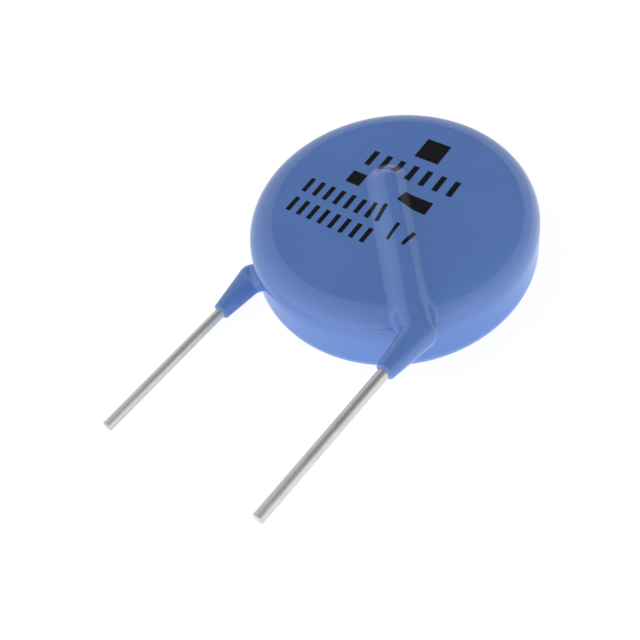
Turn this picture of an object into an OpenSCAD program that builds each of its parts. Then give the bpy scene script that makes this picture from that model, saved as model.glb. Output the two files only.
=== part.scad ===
// Ceramic disc capacitor with two radial wire leads, dipped in a glossy epoxy coating.
// It lies flat: +Z is the normal of the marked face, the leads point along -Y and are
// spaced along X. The origin is under the middle of the overall box, on its lowest plane.
// Each face carries one lead, which crosses it on a slant through the middle of the disc
// and shows as a ridge in the coating. All sizes are in millimetres.

/* [Ceramic disc] */
// Diameter of the ceramic disc
ceramic_d = 14; // [12:0.1:16]
// Thickness of the ceramic disc
ceramic_t = 3.8; // [3:0.1:5]
// Corner radius where the pressed disc's rim meets its faces
ceramic_edge_r = 0.3; // [0.1:0.05:0.5]

/* [Electrodes] */
// Bare ceramic margin between the silver electrode and the rim
electrode_margin = 0.5; // [0.3:0.05:1]
// Thickness of the fired silver layer
electrode_t = 0.05; // [0.02:0.01:0.1]

/* [Leads] */
// Distance between the two leads, centre to centre
pitch = 12.5; // [11:0.5:13.5]
// Diameter of the tinned copper wire
wire_d = 0.6; // [0.5:0.05:0.7]
// Angle between the slanted run on the face and the X axis
slant = 43; // [41:0.5:48]
// How far the slanted run goes past the middle of the disc
inner_run = 2.1; // [1:0.1:3]
// Radius on the wire's centre line where it turns towards the board
bend_r = 1.2; // [0.8:0.1:1.6]
// Last degrees of that turn, which ease out until the wire is straight at the coating's end
bend_ease = 5; // [3:0.5:6]
// Length of bare wire from the end of the coating to the cut tip
bare_len = 9.15; // [4:0.05:25]
// Radius on the edge of the cut tip
tip_edge_r = 0.05; // [0.02:0.01:0.1]

/* [Solder] */
// Thickness of solder between the electrode and the wire
solder_film = 0.03; // [0.01:0.01:0.06]
// Thickness of solder over the top of the wire
solder_cover = 0.05; // [0.02:0.01:0.08]
// Radius of the hollow flanks where the solder wets the electrode
solder_foot_r = 0.5; // [0.3:0.05:0.8]
// Length of the bead from the middle of the disc towards the rim
solder_reach = 5.2; // [4:0.1:5.6]

/* [Coating] */
// Thickness of the coating outside the rim of the ceramic
coat_rim = 1; // [0.7:0.05:1.6]
// Thickness of the coating over the electrodes
coat_face = 0.45; // [0.4:0.05:0.8]
// Radius that rounds the body between its faces and its rim
coat_edge_r = 1.6; // [1.2:0.05:1.8]
// Height of the ridge over the wire, above the face of the body
ridge_h = 0.43; // [0.38:0.01:0.6]
// Radius of the rounded top of the ridge
ridge_crest_r = 1.2; // [0.9:0.05:1.5]
// Radius of the hollow where the ridge runs out on the face
ridge_foot_r = 0.4; // [0.3:0.05:0.6]

/* [Coating run-down] */
// Half width of the coating around the bend of the wire
elbow_half_w = 0.88; // [0.8:0.02:1.1]
// Half height of the coating there, down from the ridge's crest
elbow_half_h = 0.68; // [0.6:0.02:0.74]
// How far the coating runs down the leads past the rim of the body
boot_drop = 0.65; // [0.5:0.05:2]
// Diameter of the coating at its end on the wire
boot_end_d = 1; // [0.9:0.05:1.1]
// Rounding of the edge at the end of the coating
boot_edge_r = 0.08; // [0.04:0.01:0.12]

/* [Hidden] */
$fn = 96;

wire_r = wire_d / 2;
electrode_d = ceramic_d - 2 * electrode_margin;
// height of the electrode's outer face above the middle plane of the disc
seat_z = ceramic_t / 2 + electrode_t;
// height of the wire's centre line above the middle plane
wire_z = seat_z + solder_film + wire_r;
body_r = ceramic_d / 2 + coat_rim;
// height of the coated face above the middle plane
face_z = seat_z + coat_face;
crest_z = face_z + ridge_h;

// the corner that the slanted run and the straight run of the wire's centre line point at
corner_x = pitch / 2;
corner_y = -corner_x * tan(slant);
corner_run = corner_x / cos(slant);
boot_end_y = -body_r - boot_drop;
tip_y = boot_end_y - bare_len;

// The wire turns by this angle in all. Its eased part starts at the coating's end, on the
// large radius with which the tight part after it meets the line of the slanted run.
turn = 90 - slant;
tight_y = bend_r * (cos(slant) - sin(bend_ease));
tight_x = bend_r * (cos(bend_ease) - sin(slant));
ease_r = (corner_y - boot_end_y - tight_y + tight_x * tan(slant))
    / (sin(bend_ease) - (1 - cos(bend_ease)) * tan(slant));
// length of the slanted run from the end of the bend to the middle of the disc
slanted_run = (corner_x - ease_r * (1 - cos(bend_ease)) - tight_x) / cos(slant);
// a swelling this high where the parts of the bend meet makes them one solid
bend_swell = 0.005;

// the ridge's closed end lies over the end of the wire, and its straight part ends with
// the flat of the face, from where it is draped over the rounded edge by an angle
ridge_end_run = inner_run - wire_r;
ridge_flat_run = body_r - coat_edge_r;
ridge_drape = 40;
// the coating's bulge round the bend starts inside the ridge, a little below its crest
bulge_sink = 0.02;
elbow_z = crest_z - elbow_half_h - bulge_sink;
bulge_start_run = ridge_flat_run - 1.4;
hull_fn = 32;

mid_y = (body_r + tip_y) / 2;

// moves the middle of the disc to its place above the origin
module placed() {
    translate([0, -mid_y, crest_z]) children();
}

// turns what is modelled for the top face over to the bottom face
module underside() {
    rotate([0, 180, 0]) children();
}

// puts children that run along +X on the slant, at a height above the middle plane
module on_slant(z) {
    translate([0, 0, z]) rotate([0, 0, -slant]) children();
}

// Section of a bead over a plane at y = 0: a round crest with its top at top_h, and a
// hollow foot on each side that is tangent to the crest and to the plane. It reaches
// down to -root below the plane.
module bead_section(top_h, crest_r, foot_r, root) {
    crest_y = top_h - crest_r;
    foot_x = sqrt(pow(crest_r + foot_r, 2) - pow(foot_r - crest_y, 2));
    share = crest_r / (crest_r + foot_r);
    touch = [foot_x * share, crest_y + (foot_r - crest_y) * share];
    intersection() {
        translate([0, crest_y]) circle(r = crest_r);
        translate([-crest_r, -root]) square([2 * crest_r, top_h + root]);
    }
    difference() {
        polygon([[-foot_x, -root], [foot_x, -root], [foot_x, 0], touch,
                 [-touch.x, touch.y], [-foot_x, 0]]);
        for (side = [-1, 1]) translate([side * foot_x, foot_r]) circle(r = foot_r);
    }
}

// A bead along X from -in_run to out_run on the plane z = 0. Its end at -in_run is round.
module bead(top_h, crest_r, foot_r, root, in_run, out_run) {
    translate([-in_run, 0, 0]) {
        rotate([90, 0, 90]) linear_extrude(in_run + out_run)
            bead_section(top_h, crest_r, foot_r, root);
        bead_end(top_h, crest_r, foot_r, root);
    }
}

// The round end of a bead: its section turned about the upright line through its crest.
module bead_end(top_h, crest_r, foot_r, root) {
    rotate_extrude() intersection() {
        bead_section(top_h, crest_r, foot_r, root);
        translate([0, -root]) square([2 * (crest_r + foot_r), top_h + root]);
    }
}

// Half section of a round bar or disc about the line x = 0, from y = 0 to y = len, with
// its outer edge rounded at the far end.
module rounded_half(r, len, edge_r) {
    intersection() {
        union() {
            square([r - edge_r, len]);
            square([r, len - edge_r]);
            translate([r - edge_r, len - edge_r]) circle(r = edge_r);
        }
        square([r, len]);
    }
}

// A disc of radius r, reaching half_t above and below z = 0, with rounded edges.
module rounded_disc(r, half_t, edge_r) {
    rotate_extrude() {
        rounded_half(r, half_t, edge_r);
        mirror([0, 1]) rounded_half(r, half_t, edge_r);
    }
}

// puts a bar that is modelled upwards along the straight run, its foot at height y
module down_lead(y) {
    translate([corner_x, y, wire_z]) rotate([90, 0, 0]) children();
}

// One lead as it lies on the top face, from the coating's end: the eased and the tight part
// of the bend, the slanted run to its end on the disc, and the bare run down to the tip.
module wire_run() {
    translate([corner_x - ease_r, boot_end_y, wire_z]) {
        wire_bend(ease_r, bend_ease);
        rotate([0, 0, bend_ease]) translate([ease_r - bend_r, 0, 0]) {
            translate([bend_r, 0, 0]) sphere(r = wire_r + bend_swell);
            wire_bend(bend_r, turn - bend_ease);
            rotate([0, 0, turn - bend_ease]) translate([bend_r, 0, 0]) {
                sphere(r = wire_r + bend_swell);
                rotate([-90, 0, 0]) cylinder(r = wire_r, h = slanted_run + inner_run);
            }
        }
    }
    down_lead(boot_end_y) rotate_extrude() rounded_half(wire_r, bare_len, tip_edge_r);
}

// Wire bent on radius r about the Z axis, from the X axis on through an angle.
module wire_bend(r, angle) {
    rotate_extrude(angle = angle) translate([r, 0]) circle(r = wire_r);
}

// The solder bead on the top electrode, with the wire still in it.
module solder_bead() {
    cover_r = wire_r + solder_cover;
    top_h = wire_z - seat_z + cover_r;
    on_slant(seat_z)
        bead(top_h, cover_r, solder_foot_r, 0, inner_run, solder_reach);
}

// The ridge, and the bulge that carries the coating round the bend and down the lead.
module coated_run() {
    on_slant(face_z)
        bead(ridge_h, ridge_crest_r, ridge_foot_r, coat_face, ridge_end_run, ridge_flat_run);
    on_slant(face_z - coat_edge_r) translate([ridge_flat_run, 0, 0])
        rotate([0, -90, -90]) rotate_extrude(angle = ridge_drape)
            translate([coat_edge_r, 0]) rotate(-90)
                bead_section(ridge_h, ridge_crest_r, ridge_foot_r, coat_face);
    hull() {
        on_slant(elbow_z - bulge_sink) translate([bulge_start_run, 0, 0])
            sphere(r = elbow_half_h, $fn = hull_fn);
        elbow();
    }
    hull() {
        elbow();
        down_lead(boot_end_y + boot_end_d / 2) rotate_extrude($fn = hull_fn)
            rounded_half(boot_end_d / 2, boot_end_d / 2, boot_edge_r);
    }
}

// The flat round bulge over the bend.
module elbow() {
    on_slant(elbow_z) translate([corner_run, 0, 0])
        rounded_disc(elbow_half_w, elbow_half_h, elbow_half_h, $fn = hull_fn);
}

module epoxy_coating() {
    color([0.30, 0.42, 0.66]) placed() difference() {
        union() {
            rounded_disc(body_r, face_z, coat_edge_r);
            coated_run();
            underside() coated_run();
        }
        disc_body();
        electrode_body();
        solder_bead();
        wire_run();
        underside() {
            electrode_body();
            solder_bead();
            wire_run();
        }
    }
}

module disc_body() {
    rounded_disc(ceramic_d / 2, ceramic_t / 2, ceramic_edge_r);
}

module electrode_body() {
    translate([0, 0, ceramic_t / 2]) cylinder(d = electrode_d, h = electrode_t);
}

module soldered() {
    difference() {
        solder_bead();
        wire_run();
    }
}

module ceramic_disc() {
    color([0.72, 0.62, 0.50]) placed() disc_body();
}

module top_electrode() {
    color([0.78, 0.78, 0.76]) placed() electrode_body();
}

module bottom_electrode() {
    color([0.78, 0.78, 0.76]) placed() underside() electrode_body();
}

module top_solder() {
    color([0.60, 0.61, 0.62]) placed() soldered();
}

module bottom_solder() {
    color([0.60, 0.61, 0.62]) placed() underside() soldered();
}

module top_lead() {
    color([0.74, 0.74, 0.73]) placed() wire_run();
}

module bottom_lead() {
    color([0.74, 0.74, 0.73]) placed() underside() wire_run();
}

epoxy_coating();
ceramic_disc();
top_electrode();
bottom_electrode();
top_solder();
bottom_solder();
top_lead();
bottom_lead();
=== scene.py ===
"""A ceramic disc capacitor, dipped in glossy blue epoxy, lying on a pale floor.

The sections follow the real part as it is put together: the ceramic disc, its electrodes,
the solder, the leads, the coating and the marking. The floor, the light and the camera
come last. Lengths are in millimetres: those of the leads, the coating and the marking from
the middle of the disc, and those of the camera from the origin of the frame.
"""

import math

import bmesh
import bpy
import numpy as np
from mathutils import Matrix, Quaternion, Vector


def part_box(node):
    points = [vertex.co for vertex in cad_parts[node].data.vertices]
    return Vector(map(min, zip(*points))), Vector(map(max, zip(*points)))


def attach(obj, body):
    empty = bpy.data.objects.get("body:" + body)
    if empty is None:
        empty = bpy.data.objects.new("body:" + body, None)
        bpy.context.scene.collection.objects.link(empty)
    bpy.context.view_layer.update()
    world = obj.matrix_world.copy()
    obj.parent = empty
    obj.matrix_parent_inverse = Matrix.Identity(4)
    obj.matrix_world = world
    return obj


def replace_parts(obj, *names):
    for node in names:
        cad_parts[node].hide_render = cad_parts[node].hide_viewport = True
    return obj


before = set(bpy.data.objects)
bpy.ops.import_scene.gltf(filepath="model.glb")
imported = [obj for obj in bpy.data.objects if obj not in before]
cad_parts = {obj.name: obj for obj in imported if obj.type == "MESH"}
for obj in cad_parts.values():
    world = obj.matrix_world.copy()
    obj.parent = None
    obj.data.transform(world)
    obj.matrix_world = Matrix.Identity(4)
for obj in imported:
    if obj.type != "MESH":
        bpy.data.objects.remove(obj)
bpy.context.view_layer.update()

# Ceramic disc
# The dielectric: a disc pressed from titanate powder and fired to a dense, unglazed buff
# brown body. The coating hides it, so it keeps its solid and gets the look of the fired
# surface, with fine speckle and a faint grain from the press.


class Shade:
    """An output of a shader node. Arithmetic on it adds Math nodes to its material."""

    def __init__(self, tree, output=None):
        self.tree, self.output = tree, output

    def node(self, kind, settings=(), inputs=(), output=0):
        """Adds a node of any kind. An input takes a plain value or the output of a node."""
        made = self.tree.nodes.new(kind)
        for name, value in dict(settings).items():
            setattr(made, name, value)
        for name, value in dict(inputs).items():
            if isinstance(value, Shade):
                self.tree.links.new(value.output, made.inputs[name])
            else:
                made.inputs[name].default_value = value
        return Shade(self.tree, made.outputs[output] if made.outputs else None)

    def math(self, operation, *values):
        """Adds a Math node, whose values are numbers or outputs."""
        return self.node("ShaderNodeMath", {"operation": operation}, enumerate(values))

    def __add__(self, other):
        return self.math("ADD", self, other)

    def __radd__(self, other):
        return self.math("ADD", other, self)

    def __rsub__(self, other):
        return self.math("SUBTRACT", other, self)

    def __mul__(self, other):
        return self.math("MULTIPLY", self, other)

    def __rmul__(self, other):
        return self.math("MULTIPLY", other, self)

    def between(self, low, high):
        """0 up to low, 1 from high on, and a smooth step between them."""
        return self.node(
            "ShaderNodeMapRange",
            {"interpolation_type": "SMOOTHSTEP"},
            {"Value": self, "From Min": low, "From Max": high},
        )

    def blend(self, start, end):
        """The colour start where this is 0 and end where it is 1."""
        inputs = {0: self, 6: (*start, 1), 7: (*end, 1)}
        return self.node("ShaderNodeMix", {"data_type": "RGBA"}, inputs, 2)


def noise(place, per_mm, detail=3.0, roughness=0.5):
    """Noise over the piece, with about per_mm cells in a millimetre."""
    inputs = {"Vector": place, "Scale": per_mm * 1000, "Detail": detail, "Roughness": roughness}
    return place.node("ShaderNodeTexNoise", {}, inputs)


def finish(name, colour, roughness, bump=None, bump_um=1.0, fixed=()):
    """A material. The functions colour, roughness and bump take the place on the piece and
    give what varies over it, and fixed holds what is the same all over."""
    made = bpy.data.materials.new(name)
    made.use_nodes = True
    made.node_tree.nodes.clear()
    sheet = Shade(made.node_tree)
    place = sheet.node("ShaderNodeTexCoord", output="Object")
    inputs = {"Base Color": colour(place), "Roughness": roughness(place), **dict(fixed)}
    if bump is not None:
        inputs["Normal"] = sheet.node(
            "ShaderNodeBump", {}, {"Height": bump(place), "Distance": bump_um * 1e-6}
        )
    shader = sheet.node("ShaderNodeBsdfPrincipled", {}, inputs)
    sheet.node("ShaderNodeOutputMaterial", {}, {"Surface": shader})
    return made


def dress(node, material):
    """Gives a solid of the frame its material."""
    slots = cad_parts[node].data.materials
    slots.clear()
    slots.append(material)


CERAMIC = (0.48, 0.34, 0.21)
CERAMIC_SPECKLE = (0.36, 0.24, 0.14)

fired_ceramic = finish(
    "fired_ceramic",
    colour=lambda place: noise(place, per_mm=6).between(0.45, 0.7).blend(CERAMIC, CERAMIC_SPECKLE),
    roughness=lambda place: 0.55 + 0.15 * noise(place, per_mm=12),
    bump=lambda place: noise(place, per_mm=20, detail=5),
    bump_um=6,
)
dress("ceramic_disc", fired_ceramic)

# Electrodes
# A layer of silver paste, screened on each face of the ceramic and fired. It is matt and
# pale, slightly cloudy where the paste was thinner.

SILVER = (0.75, 0.75, 0.72)
SILVER_THIN = (0.60, 0.59, 0.55)

fired_silver = finish(
    "fired_silver",
    colour=lambda place: noise(place, per_mm=0.8).between(0.35, 0.7).blend(SILVER, SILVER_THIN),
    roughness=lambda place: 0.42 + 0.16 * noise(place, per_mm=4),
    bump=lambda place: noise(place, per_mm=25, detail=4),
    bump_um=3,
    fixed={"Metallic": 1.0},
)
for node in ("top_electrode", "bottom_electrode"):
    dress(node, fired_silver)

# Solder
# Tin solder that ran along the wire when the wired disc was dipped, and holds the wire to
# the electrode. It has set with a smooth skin and slight ripples.

SOLDER = (0.58, 0.59, 0.60)
SOLDER_DULL = (0.42, 0.43, 0.45)

set_solder = finish(
    "set_solder",
    colour=lambda place: noise(place, per_mm=1.5).between(0.4, 0.65).blend(SOLDER, SOLDER_DULL),
    roughness=lambda place: 0.24 + 0.14 * noise(place, per_mm=3),
    bump=lambda place: noise(place, per_mm=2.5, detail=2),
    bump_um=10,
    fixed={"Metallic": 1.0},
)
for node in ("top_solder", "bottom_solder"):
    dress(node, set_solder)

# Leads
# Two copper wires with a satin tin plating. Each is drawn, so that fine lines run along it,
# is bent at the rim, and is cut square at its tip with the edge just broken.

MM = 0.001

coat_low, coat_high = (np.array(corner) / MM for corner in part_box("epoxy_coating"))
disc_low, disc_high = (np.array(corner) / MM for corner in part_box("ceramic_disc"))
lead_low, lead_high = (np.array(corner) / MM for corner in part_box("top_lead"))
middle = (disc_low + disc_high) / 2

WIRE_R = (lead_high[2] - lead_low[2]) / 2
WIRE_Z = (lead_high[2] + lead_low[2]) / 2 - middle[2]
CORNER_X = lead_high[0] - WIRE_R - middle[0]
SLANT = math.radians(43)
CORNER_Y = -CORNER_X * math.tan(SLANT)
BOOT_END_Y = coat_low[1] - middle[1]
TIP_Y = lead_low[1] - middle[1]
INNER_RUN = 2.1
BEND_R = 1.2
TURN = math.pi / 2 - SLANT
BEND_BACK = BEND_R * math.tan(TURN / 2)
CORNER_RUN = CORNER_X / math.cos(SLANT)
TIP_EDGE_R = 0.05
TIP_EDGE_STEPS = 4
WIRE_SIDES = 64
BEND_STEPS = 12


def to_frame(mesh):
    """Takes a mesh from millimetres round the middle of the disc to its place in metres."""
    mesh.transform(Matrix.Translation(Vector(middle) * MM) @ Matrix.Scale(MM, 4))


def piece(name, bm, material):
    """Makes the finished mesh an object that rides with the part."""
    mesh = bpy.data.meshes.new(name)
    bm.to_mesh(mesh)
    bm.free()
    to_frame(mesh)
    mesh.materials.append(material)
    for face in mesh.polygons:
        face.use_smooth = True
    made = bpy.data.objects.new(name, mesh)
    bpy.context.scene.collection.objects.link(made)
    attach(made, "root")
    return made


def underside(bm):
    """Turns what is modelled for the top face over to the bottom face."""
    bmesh.ops.rotate(bm, verts=bm.verts, matrix=Matrix.Rotation(math.pi, 3, "Y"))


def wire():
    """The wire of the top face, drawn out from its tip to its end on the disc."""
    bm = bmesh.new()
    cut = Matrix.Translation((CORNER_X, TIP_Y, WIRE_Z)) @ Matrix.Rotation(math.pi / 2, 4, "X")
    bmesh.ops.create_circle(
        bm, cap_ends=True, segments=WIRE_SIDES, radius=WIRE_R, matrix=cut
    )
    tip_edge = bm.edges[:]

    def draw(edges, step):
        """Draws the open end of the wire out by a step, and gives its new edges."""
        grown = bmesh.ops.extrude_edge_only(bm, edges=edges)["geom"]
        bmesh.ops.translate(
            bm, verts=[v for v in grown if isinstance(v, bmesh.types.BMVert)], vec=step
        )
        return [e for e in grown if isinstance(e, bmesh.types.BMEdge) and e.is_boundary]

    ring = draw(tip_edge, (0, CORNER_Y - BEND_BACK - TIP_Y, 0))
    bent = bmesh.ops.spin(
        bm,
        geom=ring,
        cent=(CORNER_X - BEND_R, CORNER_Y - BEND_BACK, WIRE_Z),
        axis=(0, 0, 1),
        angle=TURN,
        steps=BEND_STEPS,
    )["geom_last"]
    slanted = CORNER_RUN - BEND_BACK + INNER_RUN
    ring = [e for e in bent if isinstance(e, bmesh.types.BMEdge)]
    ring = draw(ring, (-slanted * math.cos(SLANT), slanted * math.sin(SLANT), 0))
    bmesh.ops.edgeloop_fill(bm, edges=ring)
    bmesh.ops.bevel(
        bm,
        geom=tip_edge + ring,
        offset=TIP_EDGE_R,
        segments=TIP_EDGE_STEPS,
        profile=0.5,
        affect="EDGES",
        material=-1,
    )
    caps = [f for f in bm.faces if len(f.verts) == WIRE_SIDES]
    bmesh.ops.inset_individual(bm, faces=caps, thickness=TIP_EDGE_R)
    bmesh.ops.recalc_face_normals(bm, faces=bm.faces)
    return bm


TIN = (0.56, 0.56, 0.555)
TIN_WORN = (0.52, 0.517, 0.51)
LINES_STRETCH = 0.012  # scale along the wire, against 1 across it


def drawn_lines(place):
    """Noise that is stretched along the wire."""
    inputs = {"Vector": place, "Scale": (1, LINES_STRETCH, 1)}
    stretched = place.node("ShaderNodeMapping", {}, inputs)
    return noise(stretched, per_mm=14, detail=4)


tin_plating = finish(
    "tin_plating",
    colour=lambda place: noise(place, per_mm=1.2).between(0.45, 0.7).blend(TIN, TIN_WORN),
    roughness=lambda place: 0.36 + 0.10 * drawn_lines(place),
    bump=drawn_lines,
    bump_um=1.5,
    fixed={"Metallic": 1.0},
)

top_wire = wire()
bottom_wire = wire()
underside(bottom_wire)
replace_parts(piece("lead_top", top_wire, tin_plating), "top_lead")
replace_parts(piece("lead_bottom", bottom_wire, tin_plating), "bottom_lead")

# Coating
# Epoxy, in which the soldered part is dipped and then cured. It is one glossy skin that
# rounds the rim, rises over each wire as a soft ridge, bulges at the wire's bend and runs
# down the lead to a blunt end.

BODY_R = coat_high[0] - middle[0]
FACE_Z = 2.40
EDGE_R = 1.6
CREST_Z = coat_high[2] - middle[2]
CREST_R = 1.2
FOOT_R = 0.25
RIDGE_IN = -1.8
RIM_FOOT_R = 0.7
ELBOW_FOOT_R = 0.15
NARROWS_AT = 5.6  # a run from the middle of the disc, as RIDGE_IN is
RIDGE_LEAN = 0.04  # sideways, for each millimetre of its run
LEANS_FROM = 3.5  # the run at which it is right over the wire
ELBOW_HALF_W = 0.88
ELBOW_HALF_H = 0.68
BOOT_R = 0.5
BOOT_EDGE_R = 0.08
CROOK_R = 0.10
SKIN_MESH = 0.09
SMOOTHINGS = 2
ROUND_SIDES = 160
EDGE_STEPS = 10
TINY = 1e-6


def round_join(a, b, radius):
    """Distance to two forms together, with a hollow fillet of the radius between them."""
    fillet = np.hypot(np.maximum(radius - a, 0), np.maximum(radius - b, 0))
    return np.maximum(radius, np.minimum(a, b)) - fillet


def round_cut(a, b, radius):
    """Distance to what two forms share, with the edge between them rounded."""
    return np.minimum(-radius, np.maximum(a, b)) + np.hypot(
        np.maximum(radius + a, 0), np.maximum(radius + b, 0)
    )


def body(x, y, z):
    """Distance to the round body with its rounded rim."""
    return round_cut(np.hypot(x, y) - BODY_R, np.abs(z) - FACE_Z, EDGE_R)


def eased(share):
    """A share from 0 to 1 that sets out and arrives gently."""
    share = np.clip(share, 0, 1)
    return share**2 * (3 - 2 * share)


def to_elbow(along):
    """The share of the way to the elbow, from where the ridge starts to narrow."""
    return np.clip((along - NARROWS_AT) / (CORNER_RUN - NARROWS_AT), 0, 1)


def ridge(along, across, z):
    """Distance to the ridge over the slanted wire. It narrows past the rim to the elbow."""
    narrow = to_elbow(along)
    radius = CREST_R + (ELBOW_HALF_H - CREST_R) * narrow
    past = along - np.clip(along, RIDGE_IN, CORNER_RUN)
    off = np.hypot(across, past) - (ELBOW_HALF_W - ELBOW_HALF_H) * narrow
    return np.hypot(np.maximum(off, 0), z - CREST_Z + radius) - radius


def boot(x, y, z):
    """Distance to the boot, which tapers from the elbow to its blunt end on the lead."""
    taper = np.clip((CORNER_Y - y) / (CORNER_Y - BOOT_END_Y), 0, 1)
    radius = ELBOW_HALF_H + (BOOT_R - ELBOW_HALF_H) * taper
    top = CREST_Z + (WIRE_Z + BOOT_R - CREST_Z) * taper
    off = np.hypot(x - CORNER_X, np.maximum(y - CORNER_Y, 0))
    off -= (ELBOW_HALF_W - ELBOW_HALF_H) * (1 - taper)
    around = np.hypot(np.maximum(off, 0), z - top + radius) - radius
    return round_cut(around, BOOT_END_Y - y, BOOT_EDGE_R)


def lead_cover(x, y, z):
    """Distance to the coating over a lead: the ridge, which leans away from the wire by a
    little, and the boot, with the crook of the bend filled on its inner side."""
    along = x * math.cos(SLANT) - y * math.sin(SLANT)
    across = x * math.sin(SLANT) + y * math.cos(SLANT)
    crook = CROOK_R * eased(-across / ELBOW_HALF_W) + TINY
    across -= RIDGE_LEAN * (LEANS_FROM - along) * (1 - to_elbow(along))
    return round_join(ridge(along, across, z), boot(x, y, z), crook)


def skin(p):
    """Distance of points from the finished skin of the coating. The hollow at the ridge's
    foot widens over the rounded rim and is tight at the elbow."""
    x, y, z = p.T
    whole = body(x, y, z)
    past_flat = eased((np.hypot(x, y) - BODY_R + EDGE_R) / EDGE_R)
    for side in (1, -1):
        along = side * x * math.cos(SLANT) - y * math.sin(SLANT)
        foot = FOOT_R + (RIM_FOOT_R - FOOT_R) * past_flat
        foot += (ELBOW_FOOT_R - foot) * eased(to_elbow(along))
        whole = round_join(whole, lead_cover(side * x, y, side * z), foot)
    return np.maximum(whole, np.abs(z) - CREST_Z)


def slope(p, step=1e-3):
    """Which way the distance from the skin grows, and how fast."""
    return np.stack(
        [(skin(p + e) - skin(p - e)) / (2 * step) for e in np.eye(3) * step], axis=1
    )


def onto_skin(p, rounds=6, reach=0.3, least=0.05):
    """Moves points straight on to the skin, by no more than reach in a round. The slope
    squared counts as least or more, so that a step stays short where it fades."""
    for _ in range(rounds):
        away = slope(p)
        step = (skin(p) / np.maximum((away**2).sum(1), least))[:, None] * away
        length = np.maximum(np.linalg.norm(step, axis=1), 1e-9)
        p = p - step * np.minimum(1, reach / length)[:, None]
    return p


def ball(bm, place, radius, flat=1.0):
    """A ball, pressed flat to a share of its height."""
    at = Matrix.Translation(place) @ Matrix.Diagonal((1, 1, flat, 1))
    return bmesh.ops.create_uvsphere(
        bm, u_segments=24, v_segments=16, radius=radius, matrix=at
    )["verts"]


def stub(bm, place, radius, length):
    """A short bar that runs along the lead."""
    at = Matrix.Translation(place) @ Matrix.Rotation(math.pi / 2, 4, "X")
    return bmesh.ops.create_cone(
        bm, cap_ends=True, segments=32, radius1=radius, radius2=radius, depth=length, matrix=at
    )["verts"]


def wrapped(*forms):
    """Forms wrapped in one tight skin."""
    bm = bmesh.new()
    verts = [v for form, *sizes in forms for v in form(bm, *sizes)]
    made = bmesh.ops.convex_hull(bm, input=verts)
    inside = {v for v in made["geom_interior"] if isinstance(v, bmesh.types.BMVert)}
    bmesh.ops.delete(bm, geom=list(inside), context="VERTS")
    return bm


def on_slant(run, z):
    """The point over the wire's slanted line at a run from the middle of the disc."""
    return run * math.cos(SLANT), -run * math.sin(SLANT), z


def rough_coating():
    """The coating in rough: the body and its runs as closed shells that cross."""
    whole = bpy.data.meshes.new("rough_coating")
    bm = bmesh.new()
    bmesh.ops.create_cone(
        bm,
        cap_ends=True,
        segments=ROUND_SIDES,
        radius1=BODY_R,
        radius2=BODY_R,
        depth=2 * FACE_Z,
    )
    rims = [e for e in bm.edges if abs(e.verts[0].co.z - e.verts[1].co.z) < TINY]
    bmesh.ops.bevel(
        bm,
        geom=rims,
        offset=EDGE_R,
        segments=EDGE_STEPS,
        profile=0.5,
        affect="EDGES",
        material=-1,
    )
    crest = CREST_Z - CREST_R
    elbow = (
        ball,
        (CORNER_X, CORNER_Y, CREST_Z - ELBOW_HALF_H),
        ELBOW_HALF_W,
        ELBOW_HALF_H / ELBOW_HALF_W,
    )
    ridge_start = (ball, on_slant(RIDGE_IN, crest), CREST_R)
    ridge_end = (ball, on_slant(NARROWS_AT, crest), CREST_R)
    boot_end = (stub, (CORNER_X, BOOT_END_Y + BOOT_R / 2, WIRE_Z), BOOT_R, BOOT_R)
    for parts in ((ridge_start, ridge_end), (ridge_end, elbow), (elbow, boot_end)):
        for flip in (False, True):
            part = wrapped(*parts)
            if flip:
                underside(part)
            part.to_mesh(whole)
            part.free()
            bm.from_mesh(whole)
    bm.to_mesh(whole)
    bm.free()
    return whole


def coating():
    """The coating's skin: the rough shells made one fine mesh, which is laid on the form."""
    rough = bpy.data.objects.new("rough_coating", rough_coating())
    bpy.context.scene.collection.objects.link(rough)
    remesh = rough.modifiers.new("one_skin", "REMESH")
    remesh.mode, remesh.voxel_size = "VOXEL", SKIN_MESH
    ready = rough.evaluated_get(bpy.context.evaluated_depsgraph_get())
    bm = bmesh.new()
    bm.from_mesh(ready.to_mesh())
    ready.to_mesh_clear()
    bpy.data.objects.remove(rough)
    for _ in range(SMOOTHINGS):
        put(bm, onto_skin(places(bm)))
        bmesh.ops.smooth_vert(
            bm, verts=bm.verts, factor=0.5, use_axis_x=True, use_axis_y=True, use_axis_z=True
        )
    put(bm, onto_skin(places(bm)))
    bmesh.ops.recalc_face_normals(bm, faces=bm.faces)
    return bm


def places(bm):
    """Where the corners of a mesh are, a row for each."""
    return np.array([v.co for v in bm.verts])


def put(bm, p):
    """Puts the corners of a mesh in these places."""
    for vert, co in zip(bm.verts, p):
        vert.co = co


EPOXY = (0.096, 0.196, 0.503)
EPOXY_DEEP = (0.092, 0.189, 0.488)

cured_epoxy = finish(
    "cured_epoxy",
    colour=lambda place: noise(place, per_mm=0.25).between(0.3, 0.7).blend(EPOXY, EPOXY_DEEP),
    roughness=lambda place: 0.02 + 0.03 * noise(place, per_mm=0.8),
    bump=lambda place: noise(place, per_mm=0.7, detail=1),
    bump_um=3,
)

skin_mesh = coating()
skin_normals = slope(places(skin_mesh))
coat = piece("coating", skin_mesh, cured_epoxy)
coat.data.normals_split_custom_set_from_vertices(
    skin_normals / np.linalg.norm(skin_normals, axis=1)[:, None]
)
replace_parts(coat, "epoxy_coating")

# Marking
# Black ink that is pad-printed on the marked face and follows the ridge. The rows are
# plain strokes, with nothing to read in them.

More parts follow.
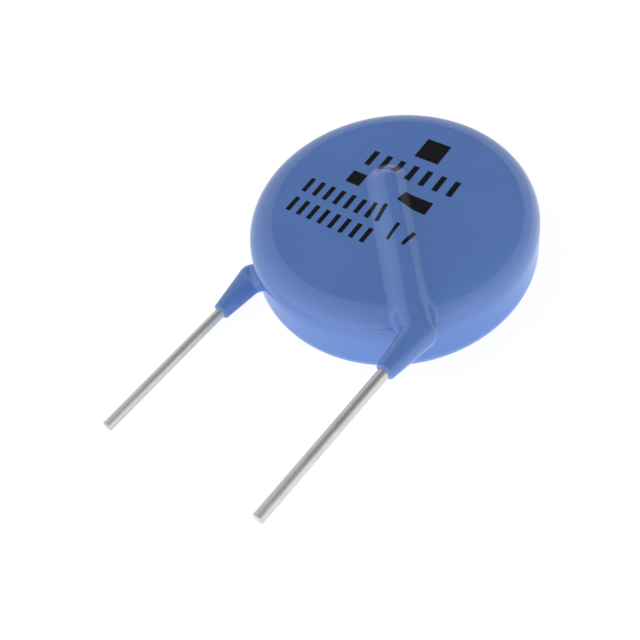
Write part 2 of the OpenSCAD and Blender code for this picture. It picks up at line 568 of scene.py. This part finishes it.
INK = (0.004, 0.005, 0.007)
INK_THIN = (0.008, 0.010, 0.014)
INK_THICKNESS = 0.02
INK_LIFT = 0.008
INK_EDGE = math.radians(40)
LAYING_ROUNDS = 8
LEAST_SLOPE = 0.3
PRINT_TILT = math.radians(4)
ROWS = (
    # start x, y, strokes, pitch, stroke width, height
    (-2.95, 2.30, 7, 0.88, 0.34, 1.15),
    (-4.75, -1.20, 8, 0.70, 0.28, 1.05),
    (-4.60, -2.75, 8, 0.70, 0.28, 1.05),
    (1.55, -1.65, 2, 0.95, 0.20, 1.15),
)
PATCHES = (
    # middle x, y, width, height
    (-0.30, 4.45, 1.5, 1.5),
    (-2.75, 0.60, 0.9, 0.9),
    (1.20, 0.75, 1.7, 0.9),
)


def stroke(bm, x, y, width, height):
    """A plain rectangle of ink, still flat above the face."""
    at = Matrix.Translation((x, y, CREST_Z)) @ Matrix.Rotation(PRINT_TILT, 4, "Z")
    bmesh.ops.create_grid(
        bm,
        x_segments=round(width / SKIN_MESH),
        y_segments=round(height / SKIN_MESH),
        size=0.5,
        matrix=at @ Matrix.Diagonal((width, height, 1, 1)),
    )


def marking():
    """All the ink, laid on the skin from above as thin closed plates with crisp edges."""
    bm = bmesh.new()
    for x, y, strokes, pitch, width, height in ROWS:
        for number in range(strokes):
            along = number * pitch
            stroke(
                bm,
                x + along * math.cos(PRINT_TILT),
                y + along * math.sin(PRINT_TILT),
                width,
                height,
            )
    for x, y, width, height in PATCHES:
        stroke(bm, x, y, width, height)
    p = places(bm)
    for _ in range(LAYING_ROUNDS):
        p[:, 2] -= skin(p) / np.maximum(slope(p)[:, 2], LEAST_SLOPE)
    p[:, 2] += INK_LIFT
    put(bm, p)
    faces = bm.faces[:]
    under = bmesh.ops.extrude_face_region(bm, geom=faces, use_keep_orig=True)["geom"]
    verts = [v for v in under if isinstance(v, bmesh.types.BMVert)]
    bmesh.ops.translate(bm, verts=verts, vec=(0, 0, -INK_THICKNESS))
    bmesh.ops.recalc_face_normals(bm, faces=bm.faces)
    for edge in bm.edges:
        edge.smooth = edge.calc_face_angle() < INK_EDGE
    return bm


printed_ink = finish(
    "printed_ink",
    colour=lambda place: noise(place, per_mm=5).between(0.4, 0.75).blend(INK, INK_THIN),
    roughness=lambda place: 0.10 + 0.08 * noise(place, per_mm=8),
    bump=lambda place: noise(place, per_mm=12),
    bump_um=0.4,
    fixed={"Specular IOR Level": 0.2},
)
piece("marking", marking(), printed_ink)

# Floor and light
# The part lies on a sheet of white opal glass, lit from below. It glows more towards the
# right. Close round the part its glow is dimmer and blue, which is a painted shadow of the
# part and painted blue light bounced off it. Round it is a bright studio with a darker
# panel overhead, behind the part.

FLOOR_SIZE = 600
FLOOR_SHADE = 0.10
FLOOR_WHITE = 1.05
FLOOR_MATT = (0.8, 0.8, 0.8, 1)
# The glow's colour close round the part: painted shadow and painted blue bounce light.
NEAR_GLOW_PAINTED_SHADE = (0.56, 0.66, 0.94)
FAR_GLOW = (0.95, 0.95, 0.95)
NEAR, FAR = 8 * MM, 14 * MM
RIGHT = (0.966, -0.259)
RIGHT_GLOW = 0.40
RIGHT_SPREAD = 12 * MM

floor_bm = bmesh.new()
bmesh.ops.create_grid(floor_bm, x_segments=1, y_segments=1, size=FLOOR_SIZE * MM)
floor_mesh = bpy.data.meshes.new("floor")
floor_bm.to_mesh(floor_mesh)
floor_bm.free()
floor = bpy.data.objects.new("floor", floor_mesh)
bpy.context.scene.collection.objects.link(floor)


def towards(place, x, y, z=0.0):
    """How far a direction or a place lies towards another direction."""
    return place.node(
        "ShaderNodeVectorMath", {"operation": "DOT_PRODUCT"}, {0: place, 1: (x, y, z)}, "Value"
    )


opal = bpy.data.materials.new("opal_glass")
opal.use_nodes = True
opal.node_tree.nodes.clear()
sheet = Shade(opal.node_tree)
spot = sheet.node("ShaderNodeTexCoord", output="Object")
spot = spot.node(
    "ShaderNodeVectorMath",
    {"operation": "SUBTRACT"},
    {0: spot, 1: (middle[0] * MM, middle[1] * MM, 0)},
)
away = spot.node("ShaderNodeVectorMath", {"operation": "LENGTH"}, {0: spot}, "Value")
rightward = towards(spot, *RIGHT).between(-RIGHT_SPREAD, RIGHT_SPREAD)

# The camera sees plain white with the part's shadow on it, and the part sees the glow.
seen = sheet.node("ShaderNodeLightPath", output="Is Camera Ray")
# Close round the part the glow is dimmed and tinted blue, as painted shade of the part.
glow = {
    "Color": away.between(NEAR, FAR).blend(NEAR_GLOW_PAINTED_SHADE, FAR_GLOW),
    "Strength": 1 + RIGHT_GLOW * rightward,
}
lit = sheet.node("ShaderNodeEmission", {}, glow)
white = sheet.node("ShaderNodeEmission", {}, {"Strength": FLOOR_WHITE})
matt = sheet.node("ShaderNodeBsdfDiffuse", {}, {"Color": FLOOR_MATT})
shown = sheet.node("ShaderNodeMixShader", {}, {0: FLOOR_SHADE, 1: white, 2: matt})
surface = sheet.node("ShaderNodeMixShader", {}, {0: seen, 1: lit, 2: shown})
sheet.node("ShaderNodeOutputMaterial", {}, {"Surface": surface})
floor_mesh.materials.append(opal)

OPEN_LEVEL = 0.89
FRONT = (-0.17, -0.98)
FRONT_LIGHT = 0.45
LOW_FRONT_LIGHT = 0.36
RIGHT_LIGHT = 0.70
BACK = (-0.64, 0.77)
BACK_LIGHT = 0.20
LOW_LIGHT_ENDS = (0.25, 0.65)
PANEL_LEVEL = 0.25
PANEL_SIDE = (0.31, 0.95)
PANEL_SIDE_EDGE = (-0.06, 0.06)
PANEL_MIDDLE = (0.04, 0.44, 1)
PANEL_ROUND_EDGE = (0.82, 0.86)

studio = bpy.data.worlds.new("studio")
bpy.context.scene.world = studio
studio.use_nodes = True
studio.node_tree.nodes.clear()
air = Shade(studio.node_tree)
way = air.node("ShaderNodeTexCoord", output="Generated")


def lamp(x, y):
    """A broad soft light from one side of the studio."""
    facing = towards(way, x, y)
    facing = facing.math("MAXIMUM", facing, 0)
    return facing * facing


low = 1 - towards(way, 0, 0, 1).between(*LOW_LIGHT_ENDS)
front = lamp(*FRONT)
back = lamp(*BACK)
walls = OPEN_LEVEL + FRONT_LIGHT * front + low * (
    LOW_FRONT_LIGHT * front + RIGHT_LIGHT * lamp(*RIGHT) + BACK_LIGHT * back * back
)
panel = towards(way, *PANEL_SIDE).between(*PANEL_SIDE_EDGE)
panel = panel * towards(way, *PANEL_MIDDLE).between(*PANEL_ROUND_EDGE)
level = walls * (1 - panel) + PANEL_LEVEL * panel
sky = air.node("ShaderNodeBackground", {}, {"Color": (1, 1, 1, 1), "Strength": level})
air.node("ShaderNodeOutputWorld", {}, {"Surface": sky})

# Camera
# Placed as in the photograph: above the part, from its lead side and a little to the
# right, rolled so that the part leans to the left.

LENS = 51.47
SENSOR_WIDTH = 36
NEAREST, FARTHEST = 1 * MM, 10000 * MM
CAMERA_AT = Vector((23.296, -20.109, 41.668)) * MM
CAMERA_AIM = Vector((0.342, -2.026, 2.83)) * MM
CAMERA_ROLL = math.radians(-14.95)

camera = bpy.data.objects.new("camera", bpy.data.cameras.new("camera"))
camera.data.sensor_width = SENSOR_WIDTH
camera.data.lens = LENS
camera.data.clip_start, camera.data.clip_end = NEAREST, FARTHEST
camera.location = CAMERA_AT
facing = (CAMERA_AIM - CAMERA_AT).to_track_quat("-Z", "Y")
camera.rotation_mode = "QUATERNION"
camera.rotation_quaternion = facing @ Quaternion((0, 0, 1), CAMERA_ROLL)
bpy.context.scene.collection.objects.link(camera)
bpy.context.scene.camera = camera
bpy.context.scene.view_settings.view_transform = "Standard"
